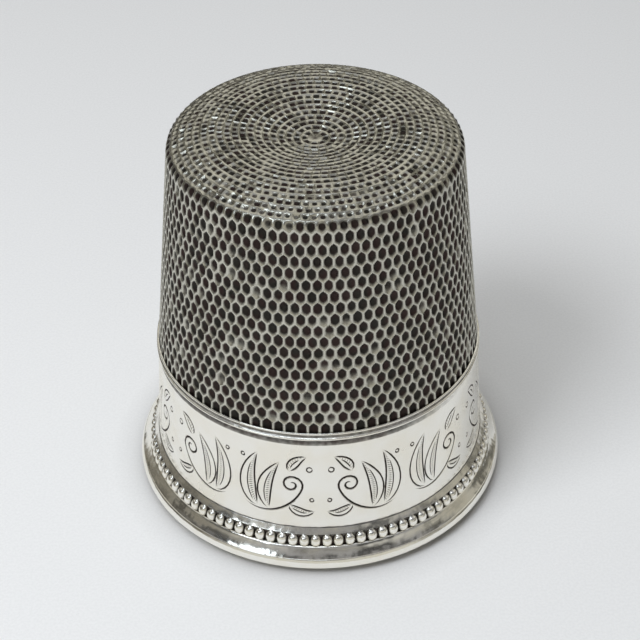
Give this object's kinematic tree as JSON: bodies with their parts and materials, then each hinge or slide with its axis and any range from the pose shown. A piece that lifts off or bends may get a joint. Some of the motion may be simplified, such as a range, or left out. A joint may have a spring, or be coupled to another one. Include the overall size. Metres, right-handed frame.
{
  "type": "thimble-shaped spirit measure",
  "caption": "Polished silver drink measure shaped like a sewing thimble: dimpled wall and dished crown, plain band, beaded and wired mouth, standing mouth down.",
  "frame": {"origin": "centre of the mouth, on the flat the measure stands on", "axes": "+Z along the axis of the cup, from the mouth up to the closed crown; the cup is turned, so X and Y are alike"},
  "size_m": [0.054, 0.054, 0.0569],
  "materials": {
    "dimpled_silver": "polished silver on the band and inside, dimples and crown cells darkened by tarnish",
    "struck_silver": "struck silver with tarnish left in the hollows",
    "bright_silver": "bright polished silver with fine wear scratches"
  },
  "bodies": {
    "root": {"cup_body": "dimpled_silver", "collar_ring": "struck_silver", "beaded_strip": "struck_silver", "sloped_strip": "bright_silver", "mouth_wire": "bright_silver"}
  },
  "joints": []
}
